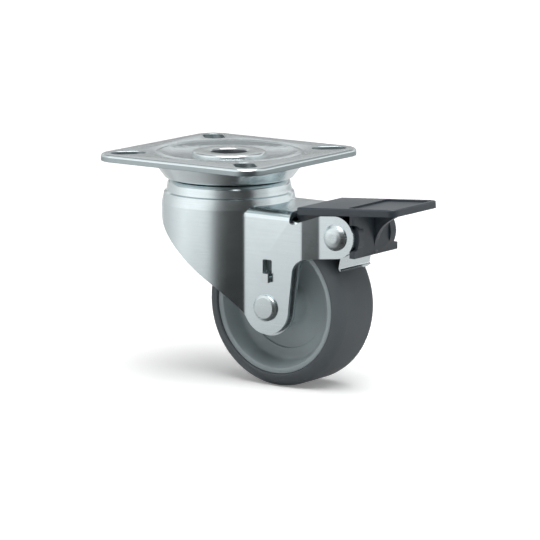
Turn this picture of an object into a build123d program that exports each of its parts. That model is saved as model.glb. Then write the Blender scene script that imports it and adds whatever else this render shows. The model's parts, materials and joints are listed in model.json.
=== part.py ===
from build123d import *
import os
from math import acos, cos, degrees, radians, sin, sqrt, tan

# Light swivel castor: a square screw-on plate, a double ball swivel, a pressed steel fork,
# a 50 mm wheel and a foot brake whose plastic pedal presses a steel plate on the tread.
# Millimetres. The origin is the middle of the plate's top face, on the swivel axis.
# +Z is up, and +X points from the swivel axis over the trailing wheel to the pedal's tip.

# clearances
RUN = 0.05  # radius to radius where one piece turns on or in another
SEAT = 0.05  # radius to radius where a riveted or moulded joint doesn't move
SLIDE = 0.2  # between flat faces that pass each other

# top plate
PLATE_SIDE = 60.0
PLATE_SHEET = 2.2
PLATE_CORNER = 7.0
PLATE_EDGE = 0.9
SLOT_INSET = 8.0  # from two sides of the plate to the middle of a slot
SLOT_WIDTH = 6.4
SLOT_LENGTH = 10.6
DISH_DEPTH = 0.9
DISH_FLOOR_R = 18.2
DISH_CREST_R = 20.9
DISH_CREST_DROP = 0.05
VALLEY_R = 22.6
VALLEY_DROP = 0.35
VALLEY_OUTER_R = 24.0
DISH_BEND = 1.2

# kingpin, a hollow stepped rivet
PIN_BORE_R = 5.5
PIN_SHANK_R = 6.9
PIN_SHOULDER_R = 7.5
PIN_HEAD_R = 11.4
PIN_HEAD = 0.8
PIN_ROUND = 0.7
PIN_TAIL_R = 9.6
PIN_TAIL = 1.2

# ball races: the upper row carries the load, the lower one stops the fork from lifting
BALL_R = 1.6
UPPER_ROW_R = 13.5
UPPER_ROW_Z = -8.2
UPPER_BALLS = 9
LOWER_ROW_R = 9.4
LOWER_BALLS = 6
CUP_SHEET = 1.5
CUP_RIM_R = 23.3
CUP_RIM_Z = -3.2
CUP_RIM = 0.4
CUP_WALL_R = 22.9
CUP_FLOOR_R = 19.6
CUP_FLOOR_Z = -8.0
CUP_BEND = 1.2
HAT_FOOT_R = 10.7
HAT_TOP_R = 8.9
LOWER_RACE_R = 12.4
LOWER_RACE = 2.7
RACE_DROP = 0.25  # from the middle of the balls down to the ring's top face

# fork, pressed from one sheet
SHEET = 1.6
CROWN_Z = -8.4
CROWN_BORE_R = 8.3
CROWN_CORNER = 1.8
NECK = [(18.75, CROWN_Z), (19.3, -12.0), (19.95, -12.35), (20.65, -15.5)]
NECK_FLARE = 1.0
LEG_Y = 13.6
LEG_BLEND = 2.5
WEB_Z = -14.4
WEB_END_X = 32.2
WEB_BEND = 3.0
JOGGLE_X = [36.5, 41.9]
JOGGLE_BEND = 3.0
ARM_Y = 11.6
SKIRT_FRONT = (-22.0, -15.9)
SKIRT_BEND = (6.0, -37.1)
SKIRT_FOOT = (11.2, -41.6)
LEG_END_R = 8.2
LEG_TANGENT = 30.0
NOTCH_Z = -18.5
NOTCH_R = 1.0
ARM_TOP = (42.2, -14.95)
ARM_HEEL = (33.6, -28.9)
ARM_HEEL_R = 5.0
EYE_R = 6.4
WINDOW_X = [22.4, 25.8]
WINDOW_Z = [-35.0, -29.6]
WINDOW_CORNER = 0.5

# wheel and axle
AXLE_X = 23.6
WHEEL_GAP = 3.4  # from the tread up to the fork's web
RIVET_R = 3.0
RIVET_HEAD_R = 4.1
RIVET_HEAD = 1.4
RIVET_FACE_R = 3.15
RIVET_FACE = 0.3
RIVET_ROUND = 0.5
TUBE_R = 4.0
WHEEL_R = 25.0
WHEEL_WIDTH = 19.4
SHOULDER_R = 3.5
TREAD_DEPTH = 4.1
TYRE_LIP = 0.3  # the tyre's side face starts this far outside the core
RIM_INSET = 0.54  # the core's rim stands this far behind the tyre's side face
RIM_WALL = 1.6
RIM_FLARE = 1.7
RIM_STEP = 3.6
WEB_STEP = 0.7
WEB_FILLET = 1.5
WHEEL_WEB_HALF = 2.2
HUB_HALF = 10.3
HUB_R = 7.4
HUB_END_R = 6.6

# brake pedal
PEDAL_X = 47.6
PEDAL_Z = -20.9
PEDAL_RIVET_R = 2.5
PEDAL_HEAD_R = 3.95
PEDAL_HEAD = 1.6
PEDAL_FLANK = 0.4
TREAD_REAR_X = 33.7
TREAD_REAR_Z = -13.0
TREAD_LENGTH = 35.4
TREAD_WIDTH = 24.0
TREAD_TILT = 4.0
TREAD_THICK = 2.2
TREAD_CORNER = 2.5
TREAD_REAR_CORNER = 0.6
TREAD_EDGE = 0.5
PANEL_START = 17.6
PANEL_RIM = 1.3
PANEL_DEPTH = 0.6
ROOT = 1.0  # how far walls and ribs reach up into the tread's slab
CHEEK_THICK = 1.5
NOSE_X = 32.6
NOSE_Z = -18.1
NOSE_R = 2.5
NOSE_END_X = 37.5
CHEEK_LOW = 4.4  # how far the cheeks reach below the pivot
WALL_X = 52.7
WALL_THICK = 1.8
WALL_Y = 11.5
WALL_Z = -26.7
WALL_FOOT = 0.6  # how far cheeks and cam ribs end above the wall's foot
BITE_R = 3.9
BITE_Z = -20.6
EYE_GAP = 0.3
RIB_THICK = 1.8
RIB_EDGE = [(54.6, -26.4), (55.2, -21.4), (57.0, -18.4), (61.8, -14.9), (63.6, -13.9)]
CAM_R = 3.65
CAM_LOBE = (49.4, -25.4)
CAM_Y = 6.5
CAM_THICK = 3.0

# brake plate
BRAKE_SHEET = 1.2
BRAKE_BEND = 0.5
BRAKE_END_R = 8.8
SADDLE_GAP = 2.5  # from the tread to the middle of the bridge's sheet
YOKE_FRONT = [(17.0, -34.0), (30.4, -10.0)]
YOKE_REAR_Z = -24.0
YOKE_BEND = 1.8
TONGUE_Y = 8.0
TONGUE_BEND = (40.4, -23.1)
TONGUE_FLAT = (43.6, -25.4)
LIP_X = 47.4
LIP_ANGLE = 30.4
LIP_GAP = 0.5
FLANGE = 0.7  # the lip's lower edge turns out by this much
LIP_CORNER = 1.1
ROCK_GAP = 0.3
ROCK_ROOM = 0.7
HOOK_X = 24.1
HOOK_WIDTH = 2.4
HOOK_DROP = 2.2
HOOK_HOLE = 4.0

SCREW_PITCH = PLATE_SIDE - 2 * SLOT_INSET
WEB_UNDER = WEB_Z - SHEET
AXLE_Z = WEB_UNDER - WHEEL_GAP - WHEEL_R
CORE_R = WHEEL_R - TREAD_DEPTH
CORE_HALF = WHEEL_WIDTH / 2 - RIM_INSET
LEG_INNER = LEG_Y - SHEET
ARM_INNER = ARM_Y - SHEET
FLOOR_UNDER = -DISH_DEPTH - PLATE_SHEET
HAT_UNDER = FLOOR_UNDER - CUP_SHEET
CUP_GROOVE_R = BALL_R + RUN
NECK_R = NECK[-1][0]
LOWER_ROW_Z = CROWN_Z - SHEET - CUP_GROOVE_R
LOWER_RACE_Z = LOWER_ROW_Z - RACE_DROP
PIN_TAIL_Z = LOWER_RACE_Z - LOWER_RACE
BOTTOM_Z = AXLE_Z - WHEEL_R
HOOK_Z = WINDOW_Z[0] + (SLIDE + BRAKE_SHEET) / 2
SADDLE_R = WHEEL_R + SADDLE_GAP


def face(*points):
    """A flat face inside a closed run of straight lines."""
    return make_face(Polyline(*points, close=True))


def at(shape, *points, near=0.2):
    """The shape's corners that lie at the given points."""
    found = []
    for x, y in points:
        found += [v for v in shape.vertices() if abs(v.X - x) < near and abs(v.Y - y) < near]
    return found


def lathe(profile):
    """Turn a profile of radius and height round the swivel axis."""
    return revolve(Plane.XZ * profile, Axis.Z, 360)


def on_axle(profile, x, z):
    """Turn a profile of radius and width round a cross axis at x, z."""
    return Pos(x, 0, z) * revolve(profile, Axis.Y, 360)


def across(profile, half):
    """Extrude a side view, drawn in X and Z, to half on both sides of the middle."""
    return extrude(Plane.XZ * profile, half, both=True)


def walls(profile, outer, sheet):
    """Two upright walls of one side view, left and right of the middle."""
    return across(profile, outer) - across(profile, outer - sheet)


def ring_groove(row_r, row_z, r):
    """The space that a ball row of that radius sweeps."""
    return Pos(0, 0, row_z) * Torus(row_r, r)


def touching(start, centre, r, turn):
    """Where a line from start touches a circle, to the left of the centre (1) or the right (-1)."""
    way = Vector(*start) - Vector(*centre)
    angle = turn * degrees(acos(r / way.length))
    return Vector(*centre) + way.normalized().rotate(Axis.Z, angle) * r


def bent_sheet(points, sheet, bend):
    """Side view of a bent sheet round a middle line, with the radius inside its bends."""
    run = [Vector(*point) for point in points]
    ways = [(after - before).normalized() for before, after in zip(run, run[1:])]
    over = []
    under = []
    for point, before, after in zip(run, ways[:1] + ways, ways + ways[-1:]):
        square = Vector(-before.Y - after.Y, before.X + after.X) / (1 + before.dot(after))
        over.append(point + square * sheet / 2)
        under.append(point - square * sheet / 2)
    view = face(*over, *reversed(under))
    for upper, lower, before, after in zip(over[1:], under[1:], ways, ways[1:]):
        turns_up = before.cross(after).Z > 0
        view = fillet(at(view, (upper.X, upper.Y)), bend if turns_up else bend + sheet)
        view = fillet(at(view, (lower.X, lower.Y)), bend + sheet if turns_up else bend)
    return view


def top_plate():
    blank = extrude(RectangleRounded(PLATE_SIDE, PLATE_SIDE, PLATE_CORNER), -PLATE_SHEET)
    blank = fillet(blank.edges().group_by(Axis.Z)[-1], PLATE_EDGE)
    # the middle is pressed down, which leaves a shallow valley and a crest round the dish
    under = face(
        (0, -PLATE_SHEET),
        (DISH_CREST_R, -PLATE_SHEET),
        (DISH_FLOOR_R + DISH_DEPTH, FLOOR_UNDER),
        (0, FLOOR_UNDER),
    )
    dish = face(
        (0, 1),
        (VALLEY_OUTER_R, 1),
        (VALLEY_OUTER_R, 0),
        (VALLEY_R, -VALLEY_DROP),
        (DISH_CREST_R, -DISH_CREST_DROP),
        (DISH_FLOOR_R, -DISH_DEPTH),
        (0, -DISH_DEPTH),
    )
    bends = [(VALLEY_R, -VALLEY_DROP), (DISH_CREST_R, -DISH_CREST_DROP)]
    dish = fillet(at(dish, *bends), DISH_BEND)
    plate = blank + lathe(under) - lathe(dish)
    plate -= Cylinder(PIN_SHANK_R + SEAT, 4 * PLATE_SHEET)
    slot = Rot(0, 0, 45) * SlotOverall(SLOT_LENGTH, SLOT_WIDTH)
    for quarter in range(4):
        place = Rot(0, 0, 90 * quarter) * Pos(SCREW_PITCH / 2, SCREW_PITCH / 2)
        plate -= extrude(place * slot, -2 * PLATE_SHEET)
    return plate


def kingpin():
    head_z = PIN_HEAD - DISH_DEPTH
    tail_end = PIN_TAIL_Z - PIN_TAIL
    section = face(
        (PIN_BORE_R, head_z),
        (PIN_HEAD_R, head_z),
        (PIN_HEAD_R, -DISH_DEPTH),
        (PIN_SHANK_R, -DISH_DEPTH),
        (PIN_SHANK_R, HAT_UNDER),
        (PIN_SHOULDER_R, HAT_UNDER),
        (PIN_SHOULDER_R, LOWER_RACE_Z),
        (PIN_SHANK_R, LOWER_RACE_Z),
        (PIN_SHANK_R, PIN_TAIL_Z),
        (PIN_TAIL_R, PIN_TAIL_Z),
        (PIN_TAIL_R, tail_end),
        (PIN_BORE_R, tail_end),
    )
    return lathe(fillet(at(section, (PIN_BORE_R, head_z), (PIN_HEAD_R, head_z)), PIN_ROUND))


def upper_race():
    # a pressed cup: hat under the plate, groove for the balls, flaring wall and rim
    lean = (CUP_WALL_R - CUP_FLOOR_R) / (CUP_RIM_Z - CUP_RIM - CUP_FLOOR_Z)
    side = CUP_SHEET * sqrt(1 + lean * lean)
    hat_lean = (HAT_FOOT_R - HAT_TOP_R) / (HAT_UNDER - CUP_FLOOR_Z)
    hat_side = CUP_SHEET * sqrt(1 + hat_lean * hat_lean)
    floor_top = CUP_FLOOR_Z + CUP_SHEET
    section = face(
        (PIN_SHANK_R + SEAT, FLOOR_UNDER),
        (HAT_TOP_R + hat_side - hat_lean * CUP_SHEET, FLOOR_UNDER),
        (HAT_FOOT_R + hat_side - hat_lean * CUP_SHEET, floor_top),
        (CUP_FLOOR_R - side + lean * CUP_SHEET, floor_top),
        (CUP_WALL_R - side, CUP_RIM_Z),
        (CUP_RIM_R, CUP_RIM_Z),
        (CUP_RIM_R, CUP_RIM_Z - CUP_RIM),
        (CUP_WALL_R, CUP_RIM_Z - CUP_RIM),
        (CUP_FLOOR_R, CUP_FLOOR_Z),
        (HAT_FOOT_R, CUP_FLOOR_Z),
        (HAT_TOP_R, HAT_UNDER),
        (PIN_SHANK_R + SEAT, HAT_UNDER),
    )
    section = fillet(at(section, (CUP_FLOOR_R, CUP_FLOOR_Z)), CUP_BEND)
    cup = lathe(section)
    bead = ring_groove(UPPER_ROW_R, UPPER_ROW_Z, CUP_GROOVE_R + CUP_SHEET)
    above = Pos(0, 0, CUP_FLOOR_Z + BALL_R) * Cylinder(CUP_FLOOR_R, 2 * BALL_R)
    cup += bead & above
    return cup - ring_groove(UPPER_ROW_R, UPPER_ROW_Z, CUP_GROOVE_R)


def lower_race():
    section = face(
        (PIN_SHANK_R + SEAT, PIN_TAIL_Z),
        (LOWER_RACE_R, PIN_TAIL_Z),
        (LOWER_RACE_R, LOWER_RACE_Z),
        (PIN_SHANK_R + SEAT, LOWER_RACE_Z),
    )
    return lathe(section) - ring_groove(LOWER_ROW_R, LOWER_ROW_Z, CUP_GROOVE_R)


def ball_row(row_r, row_z, count):
    ball = Pos(row_r, 0, row_z) * Sphere(BALL_R)
    return Compound([Rot(0, 0, 360 / count * place) * ball for place in range(count)])


def hood_plan(inset, reach):
    """Plan of the fork: the round neck running into two straight legs."""
    half = LEG_Y - inset
    plan = Circle(NECK_R - inset) + Pos(reach / 2, 0) * Rectangle(reach, 2 * half)
    join_x = sqrt((NECK_R - inset) ** 2 - half**2)
    return fillet(at(plan, (join_x, half), (join_x, -half)), LEG_BLEND + inset)


def hood(inset, reach, bend):
    """The fork's outer form, or with an inset the hollow inside it."""
    low = BOTTOM_Z
    block = extrude(Pos(0, 0, low) * hood_plan(inset, reach), WEB_Z - inset - low)
    top = block.edges().group_by(Axis.Z)[-1]
    ridge = [e for e in top if abs(abs(e.center().Y) - LEG_Y + inset) < 0.1]
    block = fillet(ridge, bend)
    neck = [(r - inset, z - inset) for r, z in NECK]
    turned = face((0, low), (0, neck[0][1]), *neck, (neck[-1][0], low))
    turned = fillet(at(turned, neck[0]), CROWN_CORNER - inset / 2)
    turned = fillet(at(turned, neck[-1]), NECK_FLARE)
    return block + lathe(turned)


def arm_plan(inset):
    """Plan of both arms behind the hood, with the joggle; an inset one is longer at its ends."""
    wide = LEG_Y - inset
    narrow = ARM_Y - inset
    near_x, far_x = JOGGLE_X
    end_x = PEDAL_X + 2 * EYE_R + inset
    start_x = WEB_END_X - inset
    half = [(start_x, wide), (near_x, wide), (far_x, narrow), (end_x, narrow)]
    other = [(x, -y) for x, y in reversed(half)]
    plan = face(*half, *other)
    bends = [(near_x, wide), (far_x, narrow), (near_x, -wide), (far_x, -narrow)]
    return fillet(at(plan, *bends), JOGGLE_BEND)


def fork_side():
    """Side view of the fork: raked skirt, leg end round the axle, heel, arm and eye."""
    tangent = radians(LEG_TANGENT)
    foot = (AXLE_X - LEG_END_R * cos(tangent), AXLE_Z - LEG_END_R * sin(tangent))
    skirt_slope = (SKIRT_BEND[1] - SKIRT_FRONT[1]) / (SKIRT_BEND[0] - SKIRT_FRONT[0])
    leg_rear = AXLE_X + LEG_END_R
    straight = Polyline(
        SKIRT_BEND,
        SKIRT_FRONT,
        (SKIRT_FRONT[0], 0),
        (WEB_END_X, 0),
        (WEB_END_X, NOTCH_Z),
        ARM_TOP,
        touching(ARM_TOP, (PEDAL_X, PEDAL_Z), EYE_R, -1),
        (PEDAL_X, PEDAL_Z),
        touching(ARM_HEEL, (PEDAL_X, PEDAL_Z), EYE_R, 1),
        ARM_HEEL,
        (leg_rear, AXLE_Z),
        (AXLE_X, AXLE_Z),
        foot,
    )
    curved = Spline(
        foot,
        SKIRT_FOOT,
        SKIRT_BEND,
        tangents=[(-sin(tangent), cos(tangent)), (-1, -skirt_slope)],
    )
    side = make_face(straight + curved)
    side += Pos(AXLE_X, AXLE_Z) * Circle(LEG_END_R)
    side += Pos(PEDAL_X, PEDAL_Z) * Circle(EYE_R)
    side = fillet(at(side, (WEB_END_X, NOTCH_Z)), NOTCH_R)
    return fillet(at(side, ARM_HEEL), ARM_HEEL_R)


def fork():
    shell = hood(0, WEB_END_X, WEB_BEND) - hood(SHEET, WEB_END_X + SHEET, WEB_BEND - SHEET)
    arms = Pos(0, 0, WEB_Z) * (arm_plan(0) - arm_plan(SHEET))
    body = shell + extrude(arms, BOTTOM_Z - WEB_Z)
    # the ball groove is pressed down into the crown
    bead = ring_groove(UPPER_ROW_R, UPPER_ROW_Z, CUP_GROOVE_R + SHEET)
    below = Pos(0, 0, CROWN_Z - NECK_R / 2) * Cylinder(NECK[0][0] - SHEET, NECK_R)
    body += bead & below
    body -= ring_groove(UPPER_ROW_R, UPPER_ROW_Z, CUP_GROOVE_R)
    body -= Pos(0, 0, CROWN_Z) * Cylinder(CROWN_BORE_R, 4 * SHEET)
    body &= across(fork_side(), LEG_Y + WHEEL_R)
    holes = Pos(AXLE_X, AXLE_Z) * Circle(RIVET_R + SEAT)
    holes += Pos(PEDAL_X, PEDAL_Z) * Circle(PEDAL_RIVET_R + SEAT)
    window = RectangleRounded(WINDOW_X[1] - WINDOW_X[0], WINDOW_Z[1] - WINDOW_Z[0], WINDOW_CORNER)
    holes += Pos(sum(WINDOW_X) / 2, sum(WINDOW_Z) / 2) * window
    return body - across(holes, 2 * LEG_Y)


def axle_rivet():
    shoulder = LEG_Y + RIVET_HEAD - RIVET_FACE
    end = LEG_Y + RIVET_HEAD
    half = face(
        (0, 0),
        (RIVET_R, 0),
        (RIVET_R, LEG_Y),
        (RIVET_HEAD_R, LEG_Y),
        (RIVET_HEAD_R, shoulder),
        (RIVET_FACE_R, end),
        (0, end),
    )
    half = fillet(at(half, (RIVET_HEAD_R, shoulder)), RIVET_ROUND)
    return on_axle(half + mirror(half, Plane.XZ), AXLE_X, AXLE_Z)


def axle_tube():
    wall = face(
        (RIVET_R + SEAT, -LEG_INNER),
        (TUBE_R, -LEG_INNER),
        (TUBE_R, LEG_INNER),
        (RIVET_R + SEAT, LEG_INNER),
    )
    return on_axle(wall, AXLE_X, AXLE_Z)


def wheel_core():
    # half of the section, from the bore out over the hub, the dished web and the rim
    bore = TUBE_R + RUN
    rim_r = CORE_R - RIM_WALL
    foot_r = rim_r - RIM_FLARE
    step_r = foot_r - RIM_STEP
    half = face(
        (bore, 0),
        (bore, HUB_HALF),
        (HUB_END_R, HUB_HALF),
        (HUB_R, WHEEL_WEB_HALF),
        (step_r, WHEEL_WEB_HALF),
        (step_r, WHEEL_WEB_HALF + WEB_STEP),
        (foot_r, WHEEL_WEB_HALF + WEB_STEP),
        (rim_r, CORE_HALF),
        (CORE_R, CORE_HALF),
        (CORE_R, 0),
    )
    feet = [(HUB_R, WHEEL_WEB_HALF), (foot_r, WHEEL_WEB_HALF + WEB_STEP)]
    half = fillet(at(half, *feet), WEB_FILLET)
    return on_axle(half + mirror(half, Plane.XZ), AXLE_X, AXLE_Z)


def tyre():
    inner = CORE_R + SEAT
    half_width = WHEEL_WIDTH / 2
    half = face(
        (inner, 0),
        (inner, CORE_HALF),
        (inner + TYRE_LIP, half_width),
        (WHEEL_R, half_width),
        (WHEEL_R, 0),
    )
    half = fillet(at(half, (WHEEL_R, half_width)), SHOULDER_R)
    return on_axle(half + mirror(half, Plane.XZ), AXLE_X, AXLE_Z)


def pedal_rivet():
    dome = PEDAL_HEAD + ARM_Y
    flank = ARM_Y + PEDAL_FLANK
    side = Polyline(
        (0, dome),
        (0, 0),
        (PEDAL_RIVET_R, 0),
        (PEDAL_RIVET_R, ARM_Y),
        (PEDAL_HEAD_R, ARM_Y),
        (PEDAL_HEAD_R, flank),
    )
    cap = TangentArc((0, dome), (PEDAL_HEAD_R, flank), tangent=(1, 0))
    half = make_face(side + cap)
    return on_axle(half + mirror(half, Plane.XZ), PEDAL_X, PEDAL_Z)


def tread_top(x):
    """Height of the pedal's top face above a place along X."""
    return TREAD_REAR_Z + (x - TREAD_REAR_X) * tan(radians(TREAD_TILT))


def brake_pedal():
    tilt = radians(TREAD_TILT)
    slab_plane = Plane(
        origin=(TREAD_REAR_X, 0, TREAD_REAR_Z),
        x_dir=(cos(tilt), 0, sin(tilt)),
        z_dir=(-sin(tilt), 0, cos(tilt)),
    )
    outline = Pos(TREAD_LENGTH / 2, 0) * Rectangle(TREAD_LENGTH, TREAD_WIDTH)
    for end_x, corner_r in ((0, TREAD_REAR_CORNER), (TREAD_LENGTH, TREAD_CORNER)):
        ends = [(end_x, TREAD_WIDTH / 2), (end_x, -TREAD_WIDTH / 2)]
        outline = fillet(at(outline, *ends), corner_r)
    slab = extrude(outline, -TREAD_THICK)
    slab = fillet(slab.edges().group_by(Axis.Z)[-1], TREAD_EDGE)
    panel_length = TREAD_LENGTH - PANEL_RIM - PANEL_START
    panel = RectangleRounded(panel_length, TREAD_WIDTH - 2 * PANEL_RIM, TREAD_CORNER - PANEL_RIM)
    slab -= extrude(Pos(PANEL_START + panel_length / 2, 0) * panel, -PANEL_DEPTH)
    pedal = slab_plane * slab
    # cheeks between the arms, from the rounded nose to the cross wall
    wall_x = WALL_X + WALL_THICK / 2
    cheek = face(
        (NOSE_X, tread_top(NOSE_X) - TREAD_THICK),
        (NOSE_X, NOSE_Z),
        (NOSE_END_X, NOSE_Z),
        (PEDAL_X - CAM_R, NOSE_Z - CHEEK_LOW),
        (PEDAL_X, PEDAL_Z - CHEEK_LOW),
        (wall_x, WALL_Z + WALL_FOOT),
        (wall_x, tread_top(wall_x) - ROOT),
        (TREAD_REAR_X + NOSE_R, tread_top(TREAD_REAR_X) - ROOT),
    )
    cheek = fillet(at(cheek, (NOSE_X, NOSE_Z)), NOSE_R)
    pedal += walls(cheek, ARM_INNER - SLIDE, CHEEK_THICK)
    # cam ribs: a low disc under the rivet that rises to a lobe towards the cross wall
    cam = face(
        (PEDAL_X - CAM_R, PEDAL_Z),
        (PEDAL_X - CAM_R, tread_top(PEDAL_X - CAM_R) - ROOT),
        (wall_x, tread_top(wall_x) - ROOT),
        (wall_x, WALL_Z + WALL_FOOT),
        CAM_LOBE,
        (PEDAL_X, PEDAL_Z - CAM_R),
    )
    cam += Pos(PEDAL_X, PEDAL_Z) * Circle(CAM_R)
    pedal += walls(cam, CAM_Y, CAM_THICK)
    wall_top = tread_top(WALL_X) - ROOT
    wall = Pos(wall_x, 0, (wall_top + WALL_Z) / 2) * Box(WALL_THICK, 2 * WALL_Y, wall_top - WALL_Z)
    # the cross wall is bitten away at its sides, and round the eyes of the arms
    bite = Cylinder(BITE_R, 2 * WALL_THICK, rotation=(0, 90, 0))
    for side in (-1, 1):
        wall -= Pos(wall_x, side * WALL_Y, BITE_Z) * bite
    eye = Pos(PEDAL_X, PEDAL_Z) * Circle(EYE_R + EYE_GAP)
    wall -= walls(eye, TREAD_WIDTH, TREAD_WIDTH - ARM_INNER + SLIDE)
    pedal += wall
    # the middle rib sweeps from the wall's foot up to the tread
    rib_top = RIB_EDGE[-1][0]
    rib_side = Polyline(
        RIB_EDGE[0],
        (wall_x, RIB_EDGE[0][1]),
        (wall_x, tread_top(wall_x) - ROOT),
        (rib_top, tread_top(rib_top) - ROOT),
        RIB_EDGE[-1],
    )
    pedal += across(make_face(rib_side + Spline(*reversed(RIB_EDGE))), RIB_THICK / 2)
    bore = Pos(PEDAL_X, PEDAL_Z) * Circle(PEDAL_RIVET_R + RUN)
    return pedal - across(bore, TREAD_WIDTH)


def from_axle(r, angle):
    """Place in the side view at a radius and an angle round the axle."""
    return (AXLE_X + r * cos(radians(angle)), AXLE_Z + r * sin(radians(angle)))


def brake_plate():
    outer = LEG_INNER - SLIDE
    half = BRAKE_SHEET / 2
    rear_x = JOGGLE_X[0] - SLIDE
    # the yoke: two legs on the axle, joined by a bridge that follows the tread
    leg = face(
        (AXLE_X - BRAKE_END_R, AXLE_Z),
        *YOKE_FRONT,
        (rear_x, YOKE_FRONT[-1][1]),
        (rear_x, YOKE_REAR_Z),
        (ARM_HEEL[0] + ROCK_GAP, ARM_HEEL[1] - ARM_HEEL_R),
        (AXLE_X + BRAKE_END_R, AXLE_Z),
    )
    leg += Pos(AXLE_X, AXLE_Z) * Circle(BRAKE_END_R)
    leg &= Pos(AXLE_X, AXLE_Z) * Circle(SADDLE_R + half)
    yoke = across(leg, outer)
    bridge = [e for e in yoke.edges().filter_by(GeomType.CIRCLE) if e.radius > SADDLE_R]
    yoke = fillet([e for e in bridge if abs(e.center().Y) > outer - half], YOKE_BEND)
    yoke -= across(Pos(AXLE_X, AXLE_Z) * Circle(SADDLE_R - half), outer - BRAKE_SHEET)
    # the tongue runs back from the bridge's rear edge, under the cam, and turns down into
    # the lip, whose heel stands just off the tread and whose lower edge turns out
    root_x = rear_x - half
    heel = from_axle(WHEEL_R + LIP_GAP + half, LIP_ANGLE)
    strip = bent_sheet(
        [
            (root_x, AXLE_Z + sqrt(SADDLE_R**2 - (root_x - AXLE_X) ** 2)),
            TONGUE_BEND,
            TONGUE_FLAT,
            (LIP_X, TONGUE_FLAT[1]),
            heel,
            (heel[0] + FLANGE, heel[1] - FLANGE),
        ],
        BRAKE_SHEET,
        BRAKE_BEND,
    )
    tongue = across(strip, TONGUE_Y)
    end = tongue.faces().sort_by(Axis.Z)[0]
    tongue = fillet([e for e in end.edges() if abs(e.center().Y) > TONGUE_Y - half], LIP_CORNER)
    plate = yoke + tongue
    # slot round the axle tube, long enough for the rocking, and the holes that the hooks leave
    slot_r = TUBE_R + ROCK_GAP
    slot = SlotOverall(2 * slot_r + ROCK_ROOM, 2 * slot_r)
    hole = Rectangle(HOOK_WIDTH + 2 * SLIDE, HOOK_HOLE)
    cut = Pos(AXLE_X + ROCK_ROOM / 2, AXLE_Z) * slot
    cut += Pos(HOOK_X, HOOK_Z + half + HOOK_HOLE / 2) * hole
    plate -= across(cut, LEG_Y)
    # hooks pushed out through the windows and turned down, on which the plate rocks
    hook_side = face(
        (outer - BRAKE_SHEET, HOOK_Z + half),
        (LEG_Y + SLIDE + BRAKE_SHEET, HOOK_Z + half),
        (LEG_Y + SLIDE + BRAKE_SHEET, HOOK_Z - HOOK_DROP),
        (LEG_Y + SLIDE, HOOK_Z - HOOK_DROP),
        (LEG_Y + SLIDE, HOOK_Z - half),
        (outer - BRAKE_SHEET, HOOK_Z - half),
    )
    hook = extrude(Plane.YZ.offset(HOOK_X - HOOK_WIDTH / 2) * hook_side, HOOK_WIDTH)
    return plate + hook + mirror(hook, Plane.XZ)


PIECES = {
    "top_plate": top_plate(),
    "kingpin": kingpin(),
    "upper_race": upper_race(),
    "lower_race": lower_race(),
    "upper_balls": ball_row(UPPER_ROW_R, UPPER_ROW_Z, UPPER_BALLS),
    "lower_balls": ball_row(LOWER_ROW_R, LOWER_ROW_Z, LOWER_BALLS),
    "fork": fork(),
    "axle_rivet": axle_rivet(),
    "axle_tube": axle_tube(),
    "wheel_core": wheel_core(),
    "tyre": tyre(),
    "brake_pedal": brake_pedal(),
    "pedal_rivet": pedal_rivet(),
    "brake_plate": brake_plate(),
}

os.makedirs("parts", exist_ok=True)
for name, piece in PIECES.items():
    export_step(piece, f"parts/{name}.step")
    print(name, len(piece.solids()), "solids", round(piece.volume, 1), "mm3")
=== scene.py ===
# %% [markdown]
# A light swivel castor with a foot brake. The solids come from a CAD file and stay where they are.
# This lesson dresses them: it gives every piece the finish of the real one, and where the CAD faces
# are too coarse or too sharp for a close look, it makes a finer piece that stands in for them.
# Everything is in metres, with the swivel axis on Z and the middle of the plate's top at the origin.

import json
from math import atan2, cos, pi, radians, sin

import bpy
import bmesh
from mathutils import Matrix, Vector


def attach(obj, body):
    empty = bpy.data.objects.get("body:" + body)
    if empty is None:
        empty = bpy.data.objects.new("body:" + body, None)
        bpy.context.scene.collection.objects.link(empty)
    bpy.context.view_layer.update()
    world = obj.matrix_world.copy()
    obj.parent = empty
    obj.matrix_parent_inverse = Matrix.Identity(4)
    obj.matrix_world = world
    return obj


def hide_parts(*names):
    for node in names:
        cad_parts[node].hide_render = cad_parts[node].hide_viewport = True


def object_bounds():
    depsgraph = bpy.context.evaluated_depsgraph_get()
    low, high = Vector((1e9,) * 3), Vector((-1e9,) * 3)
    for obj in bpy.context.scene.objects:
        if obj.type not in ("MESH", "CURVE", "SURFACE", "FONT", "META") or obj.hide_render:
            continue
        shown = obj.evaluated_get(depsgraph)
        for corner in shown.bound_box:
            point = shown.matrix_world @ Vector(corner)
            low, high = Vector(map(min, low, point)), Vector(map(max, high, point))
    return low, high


MM = 0.001
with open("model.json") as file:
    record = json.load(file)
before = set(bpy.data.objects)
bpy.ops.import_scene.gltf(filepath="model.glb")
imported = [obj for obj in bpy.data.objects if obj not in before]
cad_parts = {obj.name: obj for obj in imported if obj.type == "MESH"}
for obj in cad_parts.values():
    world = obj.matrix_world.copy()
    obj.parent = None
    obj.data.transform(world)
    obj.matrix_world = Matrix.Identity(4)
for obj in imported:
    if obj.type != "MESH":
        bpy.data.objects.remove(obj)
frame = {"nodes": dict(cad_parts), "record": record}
cad_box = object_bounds()
bpy.context.scene.view_settings.view_transform = "Standard"
nodes = frame["nodes"]
print("CAD nodes:", ", ".join(sorted(nodes)))

# %% [markdown]
# Colours are picked as sRGB hex values, as on a paint card, but Blender's shaders add and multiply
# light, so each one is turned to linear values first. One function adds any node, sets its values
# and links its inputs, which keeps each material and each Geometry Nodes tree short enough to read.


# %% Colour and node helpers
def linear(hex_colour):
    """An sRGB hex colour as the linear RGBA that shaders use."""
    parts = [int(hex_colour[i : i + 2], 16) / 255 for i in (1, 3, 5)]
    return [c / 12.92 if c <= 0.04045 else ((c + 0.055) / 1.055) ** 2.4 for c in parts] + [1.0]


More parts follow.
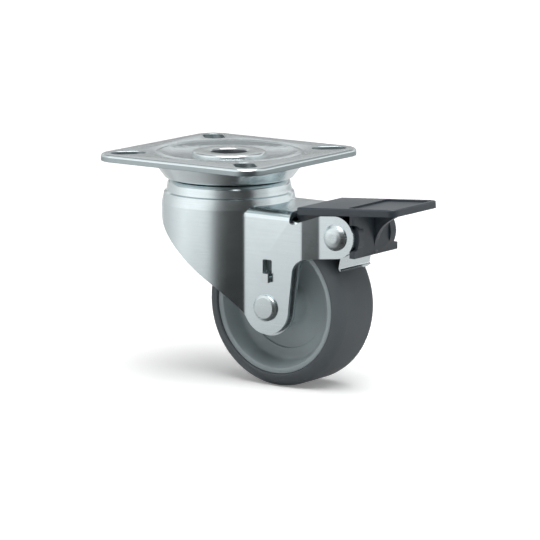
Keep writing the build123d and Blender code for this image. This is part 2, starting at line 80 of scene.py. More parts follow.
def add_node(tree, kind, values=None, links=None, **settings):
    """One node of a tree, with its settings, input values and input links."""
    node = tree.nodes.new(kind)
    for name, value in settings.items():
        setattr(node, name, value)
    for name, value in (values or {}).items():
        node.inputs[name].default_value = value
    for name, socket in (links or {}).items():
        tree.links.new(socket, node.inputs[name])
    return node


def new_material(name, **surface):
    """A material with one Principled shader, whose values are set by socket name."""
    material = bpy.data.materials.new(name)
    material.use_nodes = True
    shader = material.node_tree.nodes["Principled BSDF"]
    for socket, value in surface.items():
        shader.inputs[socket.replace("_", " ")].default_value = value
    return material, material.node_tree, shader


def shade(colour, factor):
    """A linear colour made lighter or darker."""
    return [c * factor for c in colour[:3]] + [1.0]


# %% [markdown]
# The plate, the fork and the races are cold-rolled steel sheet, pressed and then zinc plated. Rolling
# leaves fine lines on the sheet, and the plating a faint cloudiness. Two noises draw them: streaks,
# which a Mapping node makes thirty times as long as they are wide, and a slow cloud. Mixed, they
# change the gloss and the tint from place to place, and the streaks give a slight relief as well.
# Both use Object coordinates, so nothing slides when the castor turns.

# %% Zinc plated steel
STREAK_STRETCH = 30
CLOUD_SHARE = 0.45


def zinc(name, colour, rough, streak_mm, cloud_mm, level=True, bump=0.02):
    """Zinc plate over worked steel, with level or crosswise streaks and a cloudy gloss."""
    material, tree, shader = new_material(name, Metallic=1.0)
    place = add_node(tree, "ShaderNodeTexCoord")
    across = 1 / (streak_mm * MM)
    along = across / STREAK_STRETCH
    scale = [along, along, across] if level else [along, across, across]
    stretched = add_node(
        tree, "ShaderNodeMapping", {"Scale": scale}, {"Vector": place.outputs["Object"]}
    )
    streak = add_node(
        tree,
        "ShaderNodeTexNoise",
        {"Scale": 1.0, "Detail": 3.0, "Roughness": 0.6},
        {"Vector": stretched.outputs["Vector"]},
    )
    cloud = add_node(
        tree,
        "ShaderNodeTexNoise",
        {"Scale": 1 / (cloud_mm * MM), "Detail": 4.0, "Roughness": 0.55},
        {"Vector": place.outputs["Object"]},
    )
    mixed = add_node(
        tree,
        "ShaderNodeMix",
        {"Factor": CLOUD_SHARE},
        {"A": streak.outputs["Fac"], "B": cloud.outputs["Fac"]},
        data_type="FLOAT",
    )
    gloss = add_node(
        tree,
        "ShaderNodeMapRange",
        {"From Min": 0.3, "From Max": 0.7, "To Min": rough - 0.05, "To Max": rough + 0.08},
        {"Value": mixed.outputs["Result"]},
    )
    tint = add_node(
        tree,
        "ShaderNodeMix",
        {"A": linear(colour), "B": shade(linear(colour), 0.82)},
        {"Factor": mixed.outputs["Result"]},
        data_type="RGBA",
    )
    relief = add_node(
        tree,
        "ShaderNodeBump",
        {"Strength": 0.35, "Distance": bump * MM},
        {"Height": streak.outputs["Fac"]},
    )
    tree.links.new(gloss.outputs["Result"], shader.inputs["Roughness"])
    tree.links.new(tint.outputs["Result"], shader.inputs["Base Color"])
    tree.links.new(relief.outputs["Normal"], shader.inputs["Normal"])
    return material


# %% [markdown]
# Each finish is then one call: its colour, its roughness, how wide its streaks and how large its
# clouds are in millimetres, and the height of its relief. The rolled faces are bright and smooth.
# Where shears cut the steel, it is darker and rougher. Where a drill cut it, it is rougher, and its
# colour is darkened as painted shade inside the kingpin's bore.

# %% The zinc finishes
fork_zinc = zinc("zinc_plated_drawn_steel", "#E4EFF2", 0.20, 0.35, 6.0, bump=0.014)
plate_zinc = zinc("zinc_plated_rolled_sheet", "#E2EDF0", 0.20, 0.60, 3.0, level=False, bump=0.05)
race_zinc = zinc("zinc_plated_pressed_race", "#E2EBED", 0.20, 0.25, 3.0, bump=0.006)
rivet_zinc = zinc("zinc_plated_headed_rivet", "#DEE8EA", 0.28, 0.50, 1.5)
sheared_zinc = zinc("zinc_plated_sheared_edge", "#A7B2B5", 0.36, 0.45, 0.8, level=False, bump=0.12)
# The drilled bore's dark colour is painted shade, which stands for the shade inside the hole.
bore_zinc_painted_shade = zinc("zinc_plated_drilled_bore_painted_shade", "#6E7376", 0.45, 0.20, 2.0)
print("zinc finishes made")

# %% [markdown]
# The balls are hardened steel, ground and polished, so they are the one mirror-bright finish here.
# The wheel's core is polypropylene, moulded in a spark-eroded tool, which leaves a fine matt grain.
# Its tread is thermoplastic rubber: darker, duller still, with almost no highlight. The pedal is
# glass-filled nylon in anthracite, smooth enough to show a soft sheen along its edges.

# %% Plastics and rubber
TONE_MM = 9


def moulded(name, colour, rough, grain_mm, relief_mm, ior, cloud=0.08):
    """A moulded plastic or rubber with a fine grain and a slightly uneven tone."""
    material, tree, shader = new_material(name, IOR=ior)
    place = add_node(tree, "ShaderNodeTexCoord")
    grain = add_node(
        tree,
        "ShaderNodeTexNoise",
        {"Scale": 1 / (grain_mm * MM), "Detail": 2.0},
        {"Vector": place.outputs["Object"]},
    )
    tone = add_node(
        tree,
        "ShaderNodeTexNoise",
        {"Scale": 1 / (TONE_MM * MM), "Detail": 3.0},
        {"Vector": place.outputs["Object"]},
    )
    base = linear(colour)
    tint = add_node(
        tree,
        "ShaderNodeMix",
        {"A": shade(base, 1 - cloud), "B": shade(base, 1 + cloud)},
        {"Factor": tone.outputs["Fac"]},
        data_type="RGBA",
    )
    gloss = add_node(
        tree,
        "ShaderNodeMapRange",
        {"From Min": 0.3, "From Max": 0.7, "To Min": rough - 0.04, "To Max": rough + 0.04},
        {"Value": grain.outputs["Fac"]},
    )
    relief = add_node(
        tree,
        "ShaderNodeBump",
        {"Strength": 0.3, "Distance": relief_mm * MM},
        {"Height": grain.outputs["Fac"]},
    )
    tree.links.new(tint.outputs["Result"], shader.inputs["Base Color"])
    tree.links.new(gloss.outputs["Result"], shader.inputs["Roughness"])
    tree.links.new(relief.outputs["Normal"], shader.inputs["Normal"])
    return material


# %% [markdown]
# With these three and the steel of the balls, every finish is there, and a table says which node of
# the castor has which. The CAD nodes get theirs here, and the finer pieces that are made below look
# theirs up in the same table.

# %% The finish of each node
core_plastic = moulded("polypropylene_spark_grained", "#949FA2", 0.50, 0.25, 0.02, 1.49)
tread_rubber = moulded("thermoplastic_rubber_moulded", "#4F565A", 0.60, 0.20, 0.03, 1.50)
pedal_plastic = moulded("glass_filled_nylon_moulded", "#2E373E", 0.36, 0.18, 0.015, 1.53)
ball_steel = zinc("bearing_steel_polished", "#DADCDE", 0.12, 0.8, 2.0, bump=0.002)

FINISH = {
    "top_plate": plate_zinc,
    "kingpin": race_zinc,
    "upper_race": race_zinc,
    "lower_race": race_zinc,
    "upper_balls": ball_steel,
    "lower_balls": ball_steel,
    "fork": fork_zinc,
    "axle_rivet": rivet_zinc,
    "axle_tube": race_zinc,
    "wheel_core": core_plastic,
    "tyre": tread_rubber,
    "brake_pedal": pedal_plastic,
    "pedal_rivet": rivet_zinc,
    "brake_plate": race_zinc,
}
for name, material in FINISH.items():
    nodes[name].data.materials.clear()
    nodes[name].data.materials.append(material)
print(len(FINISH), "nodes finished")

# %% [markdown]
# Every finer piece is handed over in the same way. It is linked to the scene, it rides on the body
# of the CAD node that it stands for, so that it turns with the joints, and it hides that node. Edges
# between faces that meet at more than 34 degrees stay sharp, and all others are shaded smooth.

# %% Handing a piece over
SHARP_FROM = radians(34)
BODIES = frame["record"]["behaviour"]["bodies"]
BODY = {node: body for body, members in BODIES.items() for node in members}


def stand_in(node, mesh, ending):
    """Show a mesh in place of a CAD node."""
    piece = bpy.data.objects.new(node + ending, mesh)
    bpy.context.collection.objects.link(piece)
    mesh.materials.clear()
    mesh.materials.append(FINISH[node])
    for polygon in mesh.polygons:
        polygon.use_smooth = True
    mesh.set_sharp_from_angle(angle=SHARP_FROM)
    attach(piece, BODY[node])
    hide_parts(node)
    return piece


# %% [markdown]
# Some pieces show two finishes, such as a rolled face beside a sheared edge. The second one goes in
# the next material slot, and a test of each face's middle and normal says which faces wear it.


# %% A second finish
def second_finish(piece, material, chosen):
    """Another finish on the faces for which chosen(middle, normal) is true."""
    piece.data.materials.append(material)
    for polygon in piece.data.polygons:
        if chosen(polygon.center, polygon.normal):
            polygon.material_index = 1


# %% [markdown]
# A pressed or moulded piece has no razor edges: shearing and plating leave them about 0.2 mm round,
# and it is these thin rounded edges that catch the light. A CAD mesh is loose triangles, so the copy
# is first merged, its flat faces are joined again, and then a Bevel modifier rounds every edge
# sharper than a set angle.

# %% A rounded copy
MERGE_MM = 0.002
FLAT_WITHIN = radians(0.4)


def merged_copy(node):
    """A node's mesh as one closed surface, with its flat faces joined again."""
    work = bmesh.new()
    work.from_mesh(nodes[node].data)
    bmesh.ops.remove_doubles(work, verts=work.verts, dist=MERGE_MM * MM)
    bmesh.ops.dissolve_limit(
        work, angle_limit=FLAT_WITHIN, verts=work.verts, edges=work.edges, delimit={"NORMAL"}
    )
    mesh = bpy.data.meshes.new(node)
    work.to_mesh(mesh)
    work.free()
    return mesh


def rounded(node, edge_mm, sharper_than=38):
    """A piece whose edges are rounded by edge_mm, in place of a CAD node."""
    piece = stand_in(node, merged_copy(node), "_rounded")
    bevel = piece.modifiers.new("worn_edges", "BEVEL")
    bevel.width = edge_mm * MM
    bevel.segments = 2
    bevel.limit_method = "ANGLE"
    bevel.angle_limit = radians(sharper_than)
    return piece


# %% [markdown]
# Five pieces are rounded so. The plate's rim and the walls of its slots were sheared, so they wear
# the rougher finish: they are its upright faces outside the pressed dish. The Bevel modifier gives
# the rounded edges themselves the same slot.

# %% The five rounded pieces
DISH_MM = 24
UPRIGHT = 0.2


def sheared(at, out):
    """Whether a face of the plate is upright and outside the dish."""
    return abs(out.z) < UPRIGHT and Vector((at.x, at.y)).length > DISH_MM * MM


EDGE_MM = {
    "fork": 0.22,
    "top_plate": 0.18,
    "upper_race": 0.12,
    "brake_plate": 0.18,
    "brake_pedal": 0.22,
}
for node, edge_mm in EDGE_MM.items():
    piece = rounded(node, edge_mm)
    print(piece.name, len(piece.data.polygons), "faces before rounding")
    if node == "top_plate":
        second_finish(piece, sheared_zinc, sheared)
        piece.modifiers["worn_edges"].material = 1

# %% [markdown]
# The pedal's cheeks end in a round boss beside each eye of the fork. It shows as a dark edge behind
# the steel. Each boss is a slice of a disc round the pedal's pivot, drawn as an outline of arc points
# in the side view and given its thickness by moving a copy across. Lengths are in millimetres.

# %% The pedal's bosses
PEDAL_PIVOT = (47.6, 0, -20.9)
BOSS_R = 7.5
BOSS_INNER_Y, BOSS_OUTER_Y = 7.0, 9.8
BOSS_BACK_X, BOSS_TOP_Z, BOSS_FOOT_Z = 48.5, -15.5, -25.0
BOSS_START, BOSS_SWEEP = -42, 112


def boss(side, steps=18):
    """A slice of a disc round the pedal's pivot, on the left (1) or the right (-1) cheek."""
    outline = [(BOSS_BACK_X, BOSS_TOP_Z), (BOSS_BACK_X, BOSS_FOOT_Z)]
    for k in range(steps + 1):
        turn = radians(BOSS_START + BOSS_SWEEP * k / steps)
        outline.append((PEDAL_PIVOT[0] + BOSS_R * cos(turn), PEDAL_PIVOT[2] + BOSS_R * sin(turn)))
    count = len(outline)
    points = [
        (x * MM, side * y * MM, z * MM) for y in (BOSS_INNER_Y, BOSS_OUTER_Y) for x, z in outline
    ]
    faces = [range(count), range(count, 2 * count)]
    faces += [(i, (i + 1) % count, count + (i + 1) % count, count + i) for i in range(count)]
    mesh = bpy.data.meshes.new("pedal_boss")
    mesh.from_pydata(points, [], [tuple(face) for face in faces])
    work = bmesh.new()
    work.from_mesh(mesh)
    bmesh.ops.recalc_face_normals(work, faces=work.faces)
    work.to_mesh(mesh)
    work.free()
    return stand_in("brake_pedal", mesh, "_boss_left" if side > 0 else "_boss_right")


for side in (1, -1):
    print(boss(side).name)

# %% [markdown]
# The tyre, the core, the kingpin and both rivets are turned forms: one outline spun round an axis.
# An outline is written here as corners in millimetres, each with its radius from the axis, its place
# along the axis and the size of its rounding, and a helper turns every corner into a short arc.


# %% The outline helper
def rounded_outline(corners, steps=5):
    """A closed outline whose corners (x, y, rounding) are arcs of that radius."""
    points = []
    for i, (x, y, rounding) in enumerate(corners):
        if rounding == 0:
            points.append((x, y))
            continue
        here = Vector((x, y))
        before = (Vector(corners[i - 1][:2]) - here).normalized()
        after = (Vector(corners[(i + 1) % len(corners)][:2]) - here).normalized()
        half = before.angle(after) / 2
        centre = here + (before + after).normalized() * (rounding / sin(half))
        first = here + before * (rounding / sin(half) * cos(half)) - centre
        last = here + after * (rounding / sin(half) * cos(half)) - centre
        start = atan2(first.y, first.x)
        sweep = (atan2(last.y, last.x) - start + pi) % (2 * pi) - pi
        for k in range(steps + 1):
            turn = start + sweep * k / steps
            points.append((centre.x + rounding * cos(turn), centre.y + rounding * sin(turn)))
    return points


def both_sides(half):
    """Corners of a form that is the same on both sides of its middle plane."""
    return half + [(r, -w, rounding) for r, w, rounding in reversed(half)]


# %% [markdown]
# Geometry Nodes spin any outline by one rule. Mesh to Curve makes the outline a profile, and Curve to
# Mesh carries it round a small circle of one millimetre, so that the outline is drawn one millimetre
# nearer to the axis. The number of steps and the finish are inputs. Realize Instances and Set
# Material close the tree, and the result is then kept as a plain mesh.


# %% Opening and closing a tree
def new_tree(name, inputs):
    """A geometry tree with named inputs, and its input node."""
    tree = bpy.data.node_groups.new(name, "GeometryNodeTree")
    tree.interface.new_socket("Geometry", in_out="OUTPUT", socket_type="NodeSocketGeometry")
    for label, kind in inputs.items():
        tree.interface.new_socket(label, in_out="INPUT", socket_type="NodeSocket" + kind)
    return tree, add_node(tree, "NodeGroupInput")


def close_tree(tree, given, geometry):
    """Realize the instances, dress the result and send it out."""
    real = add_node(tree, "GeometryNodeRealizeInstances", links={"Geometry": geometry})
    dress = add_node(
        tree,
        "GeometryNodeSetMaterial",
        links={"Geometry": real.outputs["Geometry"], "Material": given.outputs["Finish"]},
    )
    add_node(tree, "NodeGroupOutput", links={"Geometry": dress.outputs["Geometry"]})


# %% [markdown]
# The turning tree itself is then only three nodes between the two helpers.

# %% The turning tree
HUB_MM = 1.0
TURNING, given = new_tree(
    "turned_piece", {"Geometry": "Geometry", "Steps": "Int", "Finish": "Material"}
)
profile = add_node(TURNING, "GeometryNodeMeshToCurve", links={"Mesh": given.outputs["Geometry"]})
path = add_node(
    TURNING,
    "GeometryNodeCurvePrimitiveCircle",
    {"Radius": HUB_MM * MM},
    {"Resolution": given.outputs["Steps"]},
)
spun = add_node(
    TURNING,
    "GeometryNodeCurveToMesh",
    links={"Curve": path.outputs["Curve"], "Profile Curve": profile.outputs["Curve"]},
)
close_tree(TURNING, given, spun.outputs["Mesh"])
print("turning tree has", len(TURNING.nodes), "nodes")


# %% [markdown]
# A tree's inputs are set on the modifier by their socket identifiers, before the first evaluation.
# The evaluated result becomes a plain mesh, whose coinciding points on the axis are merged and whose
# faces are turned outwards. Pieces on the wheel's axle are then laid across, at the axle's place.

# %% From a tree to a plain mesh
JOIN_MM = 0.001
TURNED_STEPS = 144


def grown(tree, inputs, seed_mesh):
    """The plain mesh that a geometry tree makes from a seed mesh."""
    draft = bpy.data.objects.new("draft", seed_mesh)
    bpy.context.collection.objects.link(draft)
    modifier = draft.modifiers.new("grow", "NODES")
    modifier.node_group = tree
    for item in tree.interface.items_tree:
        if item.in_out == "INPUT" and item.name in inputs:
            modifier[item.identifier] = inputs[item.name]
    depsgraph = bpy.context.evaluated_depsgraph_get()
    mesh = bpy.data.meshes.new_from_object(draft.evaluated_get(depsgraph))
    bpy.data.objects.remove(draft)
    work = bmesh.new()
    work.from_mesh(mesh)
    bmesh.ops.remove_doubles(work, verts=work.verts, dist=JOIN_MM * MM)
    bmesh.ops.recalc_face_normals(work, faces=work.faces)
    work.to_mesh(mesh)
    work.free()
    return mesh


def turned(node, corners, place=None):
    """A turned piece in place of a CAD node, upright or across at a place."""
    outline = rounded_outline(corners)
    drawing = bpy.data.meshes.new(node + "_outline")
    drawing.from_pydata(
        [((r - HUB_MM) * MM, -w * MM, 0) for r, w in outline],
        [(i, (i + 1) % len(outline)) for i in range(len(outline))],
        [],
    )
    mesh = grown(TURNING, {"Steps": TURNED_STEPS, "Finish": FINISH[node]}, drawing)
    if place:
        across = Matrix.Rotation(radians(-90), 4, "X")
        mesh.transform(Matrix.Translation(Vector(place) * MM) @ across)
    piece = stand_in(node, mesh, "_turned")
    print(piece.name, len(mesh.polygons), "faces")
    return piece


# %% [markdown]
# The kingpin is a hollow rivet: its flange lies in the plate's dish with a round bore, and a shoulder
# and a tail, out of sight, hold the races. The axle rivet's heads are flat with a rounded flank,
# because they are pressed in a die. The pedal's rivet has domes, drawn here as a few flat steps whose
# large roundings run together. The kingpin's bore, 5.5 mm in radius, is darkened as painted shade
# inside the hole.

# %% Kingpin and rivets
AXLE = (23.6, 0, -44.4)
BORE_MM = 5.6


def bored(at, out):
    """Whether a face lies in the kingpin's bore."""
    return Vector((at.x, at.y)).length < BORE_MM * MM


kingpin = turned(
    "kingpin",
    [
        (5.5, -0.1, 0.7),
        (11.4, -0.1, 0.7),
        (11.4, -0.9, 0),
        (6.9, -0.9, 0),
        (6.9, -4.6, 0),
        (7.5, -4.6, 0),
        (7.5, -11.9, 0),
        (6.9, -11.9, 0),
        (6.9, -14.6, 0),
        (9.6, -14.6, 0.1),
        (9.6, -15.8, 0.4),
        (5.5, -15.8, 0.2),
    ],
)
# The bore's faces get the finish whose dark colour is painted shade.
second_finish(kingpin, bore_zinc_painted_shade, bored)
turned(
    "axle_rivet",
    both_sides([(3.0, 13.6, 0), (4.1, 13.6, 0), (4.1, 14.45, 0.5), (3.2, 14.92, 0.45), (0, 15.0, 0)]),
    AXLE,
)
turned(
    "pedal_rivet",
    both_sides(
        [(2.5, 11.6, 0), (3.95, 11.6, 0), (3.95, 12.1, 0.25), (2.9, 12.85, 1.8), (1.5, 13.2, 3), (0, 13.2, 0)]
    ),
    PEDAL_PIVOT,
)

# %% [markdown]
# The core has a hub, a dished web with a small step, and a rim whose flared inside catches a soft ring
# of light. The tyre is moulded over it. Its shoulders are rounded by 3.5 mm, and where it meets the
# rim a fine lip is left, which draws the thin line between the two.

# %% Wheel core and tyre
turned(
    "wheel_core",
    both_sides(
        [
            (4.05, 10.3, 0.2),
            (6.6, 10.3, 0.5),
            (7.4, 2.2, 1.5),
            (14.0, 2.2, 0.25),
            (14.0, 2.9, 0.25),
            (17.6, 2.9, 1.5),
            (19.3, 9.16, 0.5),
            (20.9, 9.16, 0.15),
        ]
    ),
    AXLE,
)
turned(
    "tyre",
    both_sides([(20.95, 9.1, 0), (21.25, 9.7, 0.25), (25.0, 9.7, 3.5)]),
    AXLE,
)

# %% [markdown]
# The balls repeat by a rule as well: a Mesh Circle has one point for each ball, and Instance on
# Points sets a sphere on every one. The two rows share the tree, with their own radius and number.

# %% The ball rows
BALL_MM = 1.6
ROW, given = new_tree(
    "ball_row",
    {"Geometry": "Geometry", "Balls": "Int", "Row radius": "Float", "Finish": "Material"},
)
ring = add_node(
    ROW,
    "GeometryNodeMeshCircle",
    links={"Vertices": given.outputs["Balls"], "Radius": given.outputs["Row radius"]},
)
ball = add_node(
    ROW, "GeometryNodeMeshUVSphere", {"Segments": 40, "Rings": 20, "Radius": BALL_MM * MM}
)
row = add_node(
    ROW,
    "GeometryNodeInstanceOnPoints",
    links={"Points": ring.outputs["Mesh"], "Instance": ball.outputs["Mesh"]},
)
close_tree(ROW, given, row.outputs["Instances"])

ROWS = (("upper_balls", 9, 13.5, -8.2), ("lower_balls", 6, 9.4, -11.65))
for node, balls, row_mm, height_mm in ROWS:
    inputs = {"Balls": balls, "Row radius": row_mm * MM, "Finish": FINISH[node]}
    mesh = grown(ROW, inputs, bpy.data.meshes.new(node + "_seed"))
    mesh.transform(Matrix.Translation((0, 0, height_mm * MM)))
    stand_in(node, mesh, "_row")
    print(node, len(mesh.polygons), "faces")

# %% [markdown]
# The photograph was taken with a long lens from the brake's side, about ten degrees above the plate.
# The camera is placed from those angles, and aimed so that the castor sits where it does in the
# photograph, with no shift. A 36 mm sensor and the measured focal length in pixels give the lens.

# %% The camera
AZIMUTH = radians(35.6)
ELEVATION = radians(10.1)
FOCAL_PX = 4019.6
PICTURE_PX = 540
SENSOR_MM = 36
DISTANCE_MM, ASIDE_MM, BELOW_MM = 1231.2, 12.526, 36.675
away = Vector((sin(AZIMUTH) * cos(ELEVATION), -cos(AZIMUTH) * cos(ELEVATION), sin(ELEVATION)))
right = Vector((cos(AZIMUTH), sin(AZIMUTH), 0))
up = away.cross(right)
camera_data = bpy.data.cameras.new("camera")
camera_data.sensor_width = SENSOR_MM
camera_data.lens = SENSOR_MM * FOCAL_PX / PICTURE_PX
camera_data.clip_end = 20
camera = bpy.data.objects.new("camera", camera_data)
bpy.context.collection.objects.link(camera)
stand = (away * DISTANCE_MM + right * ASIDE_MM - up * BELOW_MM) * MM
turn = Matrix((right, up, away)).transposed().to_4x4()
camera.matrix_world = Matrix.Translation(stand) @ turn
bpy.context.scene.camera = camera
print("lens", round(camera_data.lens), "mm")

# %% [markdown]
# The castor stands on white paper in soft light. A Light Path node tells a material which kind of
# ray has reached it, with one output for each kind that is 1 or 0. A helper takes the largest of the
# named outputs, so that paper and world can answer the camera and the mirrors in their own way.


# %% Telling rays apart
def seen_rays(tree, kinds):
    """1 for rays of the named kinds, else 0."""
    light_path = add_node(tree, "ShaderNodeLightPath")
    seen = light_path.outputs[kinds[0]]
    for kind in kinds[1:]:
        seen = add_node(
            tree,
            "ShaderNodeMath",
            links={0: seen, 1: light_path.outputs[kind]},
            operation="MAXIMUM",
        ).outputs[0]
    return seen


# %% [markdown]
# The paper is matt and lit by the lamp like anything else, so it keeps the castor's shadow. To the
# camera it is a little brighter and also glows, so that it comes out white round the shadow, and it
# glows more further off, where the lamp's light fades. Mirrors see its lit colour with a faint glow.
# All other rays see a paper that is slightly darker and doesn't glow, so less light comes from below.

# %% The paper
FLOOR_SIZE = 8
floor_z = cad_box[0][2]
bpy.ops.mesh.primitive_plane_add(size=FLOOR_SIZE, location=(0, 0, floor_z))
floor = bpy.context.object
floor.name = "studio_floor"
FLOOR_GLOW = 0.19
FLOOR_GLOW_FAR = 0.60
FLOOR_GAIN = 1.12
FLOOR_BOUNCE = 0.9
MIRRORED_GLOW = 0.1
FADE_NEAR, FADE_FAR = 0.15, 0.9
floor_material = bpy.data.materials.new("matt_white_paper")
floor_material.use_nodes = True
paper = floor_material.node_tree
paper.nodes.clear()
white_paper = linear("#F4F4F4")
by_camera = seen_rays(paper, ["Is Camera Ray"])
by_mirror = seen_rays(paper, ["Is Glossy Ray", "Is Transmission Ray"])
bounce = add_node(
    paper,
    "ShaderNodeMix",
    {"A": shade(white_paper, FLOOR_BOUNCE), "B": white_paper},
    {"Factor": by_mirror},
    data_type="RGBA",
)
tone = add_node(
    paper,
    "ShaderNodeMix",
    {"B": shade(white_paper, FLOOR_GAIN)},
    {"Factor": by_camera, "A": bounce.outputs["Result"]},
    data_type="RGBA",
)
lit = add_node(paper, "ShaderNodeBsdfDiffuse", links={"Color": tone.outputs["Result"]})
place = add_node(paper, "ShaderNodeTexCoord")
reach = add_node(
    paper, "ShaderNodeVectorMath", links={0: place.outputs["Object"]}, operation="LENGTH"
)
fade = add_node(
    paper,
    "ShaderNodeMapRange",
    {"From Min": FADE_NEAR, "From Max": FADE_FAR, "To Min": FLOOR_GLOW, "To Max": FLOOR_GLOW_FAR},
    {"Value": reach.outputs["Value"]},
)
glow = add_node(
    paper,
    "ShaderNodeMix",
    {"A": MIRRORED_GLOW},
    {"Factor": by_camera, "B": fade.outputs["Result"]},
    data_type="FLOAT",
)
seen = seen_rays(paper, ["Is Camera Ray", "Is Glossy Ray", "Is Transmission Ray"])
strength = add_node(
    paper, "ShaderNodeMath", links={0: seen, 1: glow.outputs["Result"]}, operation="MULTIPLY"
)
lift = add_node(paper, "ShaderNodeEmission", links={"Strength": strength.outputs[0]})
sum_up = add_node(paper, "ShaderNodeAddShader", links={0: lit.outputs[0], 1: lift.outputs[0]})
add_node(paper, "ShaderNodeOutputMaterial", links={"Surface": sum_up.outputs[0]})
floor.data.materials.append(floor_material)
print("paper at z", round(floor_z / MM, 2), "mm")

# %% [markdown]
# The world is white for the camera and for mirrors. As a light it is a soft grey overcast that grows
# from the horizon to the zenith, which the Z of its Generated coordinates tells.

# %% The world
SKY_HORIZON, SKY_ZENITH = 0.20, 0.45
world = bpy.data.worlds.new("studio")
bpy.context.scene.world = world
world.use_nodes = True
sky = world.node_tree
sky.nodes.clear()
direction = add_node(sky, "ShaderNodeTexCoord")
height = add_node(sky, "ShaderNodeSeparateXYZ", links={"Vector": direction.outputs["Generated"]})
overcast = add_node(
    sky,
    "ShaderNodeMapRange",
    {"From Min": 0.0, "From Max": 1.0, "To Min": SKY_HORIZON, "To Max": SKY_ZENITH},
    {"Value": height.outputs["Z"]},
)
soft = add_node(
    sky,
    "ShaderNodeBackground",
    {"Color": linear("#FFFFFF")},
    {"Strength": overcast.outputs["Result"]},
)
white = add_node(sky, "ShaderNodeBackground", {"Color": linear("#FFFFFF"), "Strength": 1.0})
seen = seen_rays(sky, ["Is Camera Ray", "Is Glossy Ray", "Is Transmission Ray"])
both = add_node(
    sky, "ShaderNodeMixShader", links={0: seen, 1: soft.outputs[0], 2: white.outputs[0]}
)
add_node(sky, "ShaderNodeOutputWorld", links={"Surface": both.outputs[0]})
print("world set")


# %% [markdown]
# One large lamp overhead, a little towards the camera and to the right, models the forms and drops
# a soft shadow to the left under the castor. Its long side lies along the camera's view.


# %% The lamp
def lamp(name, place, aim, width, depth, watts):
    """A soft lamp at a place, turned to an aim point, with its depth along the camera's view."""
    data = bpy.data.lights.new(name, "AREA")
    data.shape = "RECTANGLE"
    data.size = width
    data.size_y = depth
    data.energy = watts
    light = bpy.data.objects.new(name, data)
    bpy.context.collection.objects.link(light)
    out = (Vector(place) - Vector(aim)).normalized()
    along = out.cross(right).normalized()
    turn = Matrix((along.cross(out), along, out)).transposed().to_4x4()
    light.matrix_world = Matrix.Translation(place) @ turn


AHEAD, RIGHTWARD, LAMP_HEIGHT = 0.16, 0.07, 0.55
LAMP_WIDTH, LAMP_DEPTH, LAMP_WATTS = 0.50, 0.80, 5.2
LAMP_AIM = (0.02, 0, -0.03)
overhead = Vector((0, 0, LAMP_HEIGHT)) + Vector((away.x, away.y, 0)) * AHEAD + right * RIGHTWARD
lamp("overhead", overhead, LAMP_AIM, LAMP_WIDTH, LAMP_DEPTH, LAMP_WATTS)
print("lamp of", LAMP_WATTS, "W")


# %% [markdown]
# White paper all round would leave the steel flat and white, so a photographer sets grey cards for
# the metal to mirror. Here they are hidden from the camera and from matt surfaces, and they cast no
# shadow. A card is bent round the swivel axis, and its brightness changes along it and across it: a
# number at every point, kept as an attribute, is the strength of its Emission shader.


# %% A card
def card(name, profile, stops, steps=96):
    """A card bent round the swivel axis that only mirrors see.

    The profile gives reach and height of each edge from the lowest up, and a stop gives an
    azimuth and the card's brightness there, along its lowest edge and along the others.
    """
    first, last = stops[0][0], stops[-1][0]
    points = []
    levels = []
    for k in range(steps + 1):
        azimuth = first + (last - first) * k / steps
        before = max(i for i in range(len(stops) - 1) if stops[i][0] <= azimuth or i == 0)
        (az_a, low_a, high_a), (az_b, low_b, high_b) = stops[before : before + 2]
        share = (azimuth - az_a) / (az_b - az_a)
        for edge, (reach, height) in enumerate(profile):
            turn = radians(azimuth)
            points.append((reach * sin(turn), -reach * cos(turn), floor_z + height))
            ends = (low_a, low_b) if edge == 0 else (high_a, high_b)
            levels.append(ends[0] + (ends[1] - ends[0]) * share)
    rows = len(profile)
    faces = [
        (rows * k + j, rows * (k + 1) + j, rows * (k + 1) + j + 1, rows * k + j + 1)
        for k in range(steps)
        for j in range(rows - 1)
    ]
    mesh = bpy.data.meshes.new(name)
    mesh.from_pydata(points, [], faces)
    mesh.attributes.new("level", "FLOAT", "POINT").data.foreach_set("value", levels)
    sheet = bpy.data.objects.new(name, mesh)
    bpy.context.collection.objects.link(sheet)
    material = bpy.data.materials.new(name + "_paper")
    material.use_nodes = True
    tree = material.node_tree
    tree.nodes.clear()
    level = add_node(tree, "ShaderNodeAttribute", attribute_name="level")
    shine = add_node(tree, "ShaderNodeEmission", links={"Strength": level.outputs["Fac"]})
    add_node(tree, "ShaderNodeOutputMaterial", links={"Surface": shine.outputs[0]})
    mesh.materials.append(material)
    sheet.visible_camera = False
    sheet.visible_diffuse = False
    sheet.visible_shadow = False
    print(name, len(faces), "faces")
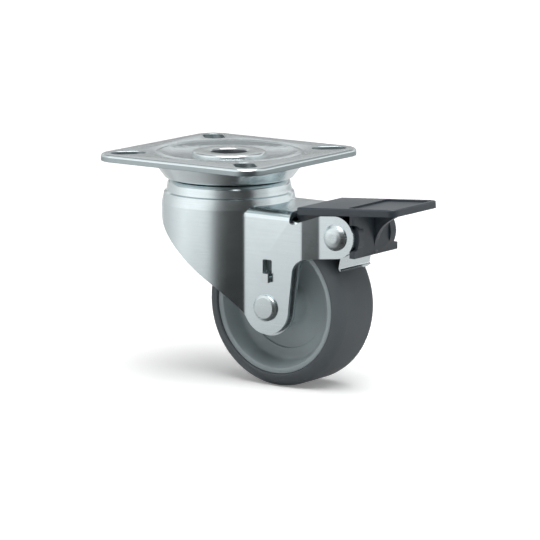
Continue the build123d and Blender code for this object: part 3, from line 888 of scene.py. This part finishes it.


# %% [markdown]
# Four cards make the steel. The front one is bright on the left, nearly black from the camera to the
# right, and bright again at its far end. It draws the dark column on the fork's neck and the dark
# band on its joggled arm. A low ring on the paper does the same for faces that mirror the ground, and
# its dark part near the castor is painted shade: the paper's shade under the plate, put into the
# steel's reflections.
# Behind the castor, a card that is dark at its foot and bright at its top draws the rings of the
# plate's dish, and a high one gives the dish's far slope its tone. They are set for the camera's
# side: from other sides the steel mirrors other parts of them, and can look too dark or too bright.

# %% The four cards
card(
    "front_card",
    [(0.085, 0.002), (0.17, 0.071), (0.5, 0.45)],
    [
        (-110, 0.55, 0.66),
        (-80, 0.62, 0.74),
        (-42, 0.82, 1.25),
        (-30, 0.74, 1.20),
        (-20, 0.62, 1.20),
        (-8, 0.63, 1.15),
        (0, 0.60, 1.00),
        (5, 0.52, 0.85),
        (9, 0.34, 0.68),
        (13, 0.17, 0.48),
        (18, 0.06, 0.32),
        (24, 0.03, 0.20),
        (33, 0.02, 0.12),
        (50, 0.03, 0.09),
        (68, 0.03, 0.05),
        (77, 0.15, 0.10),
        (86, 0.60, 0.55),
        (110, 0.70, 0.75),
    ],
)
# The low ring's dark part near the castor is painted shade of the paper, seen only in reflections.
card(
    "low_card",
    [(0.02, 0.0003), (0.10, 0.0006), (0.45, 0.002)],
    [
        (-180, 0.55, 0.80),
        (-110, 0.50, 0.75),
        (-42, 0.42, 0.85),
        (-12, 0.27, 0.80),
        (5, 0.20, 0.50),
        (24, 0.11, 0.20),
        (50, 0.06, 0.10),
        (75, 0.07, 0.15),
        (95, 0.40, 0.50),
        (120, 0.60, 0.68),
        (180, 0.55, 0.80),
    ],
)
card("back_card", [(0.5, 0.09), (0.5, 0.26)], [(165, 0.20, 1.12), (215, 0.12, 1.03), (265, 0.20, 1.12)])
card(
    "high_card",
    [(0.5, 0.28), (0.42, 0.45), (0.25, 0.62)],
    [(150, 0.34, 0.38), (215, 0.28, 0.42), (280, 0.34, 0.38)],
)
print("cards set")

# %% [markdown]
# Last, a line says that the scene is set.

# %% Close
print("scene set")
